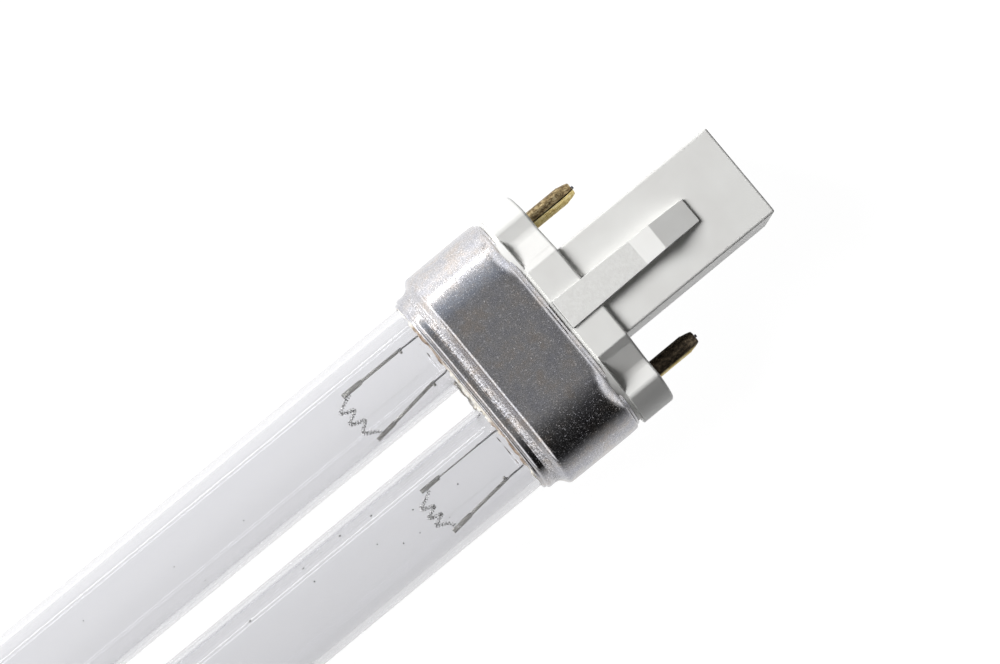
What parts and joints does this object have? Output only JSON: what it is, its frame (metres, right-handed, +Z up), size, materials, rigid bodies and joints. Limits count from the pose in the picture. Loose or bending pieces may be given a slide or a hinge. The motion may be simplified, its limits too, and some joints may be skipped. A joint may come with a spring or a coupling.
{
  "type": "twin-tube germicidal lamp",
  "caption": "Plug-in twin-tube ultraviolet germicidal lamp with a metal-skirted plug cap and contact pins.",
  "frame": {"origin": "under the middle of the lamp's box, on the surface that it lies on", "axes": "+X along the lamp towards the plug, +Y across both tubes, +Z up from the broad side it lies on"},
  "size_m": [0.1674, 0.0312, 0.0208],
  "materials": {
    "quartz_glass": "clear, smooth",
    "starter_glass": "clear",
    "mercury": "liquid bright",
    "nickel": "grey, matt",
    "tungsten": "grey with white emitter",
    "lead_wire": "oxidised copper clad",
    "sleeve": "woven glass fibre",
    "shell_metal": "drawn, finely grained, stained",
    "cement": "baked basing cement",
    "moulding": "satin off-white moulding",
    "pin_brass": "tarnished",
    "capacitor": "dipped"
  },
  "bodies": {
    "root": {"glass_envelope": "quartz_glass", "mercury_bead": "mercury", "electrode_post_a1": "nickel", "electrode_post_a2": "nickel", "electrode_post_b1": "nickel", "electrode_post_b2": "nickel", "cathode_coil_a": "tungsten", "cathode_coil_b": "tungsten", "lead_in_wire_a1": "lead_wire", "lead_in_wire_a2": "lead_wire", "lead_in_wire_b1": "lead_wire", "lead_in_wire_b2": "lead_wire", "insulating_sleeve_a": "sleeve", "insulating_sleeve_b": "sleeve", "metal_shell": "shell_metal", "basing_cement": "cement", "plug_body": "moulding", "contact_pin_a": "pin_brass", "contact_pin_b": "pin_brass", "starter_bulb": "starter_glass", "starter_bimetal": "nickel", "starter_fixed_electrode": "nickel", "suppression_capacitor": "capacitor"}
  },
  "joints": []
}
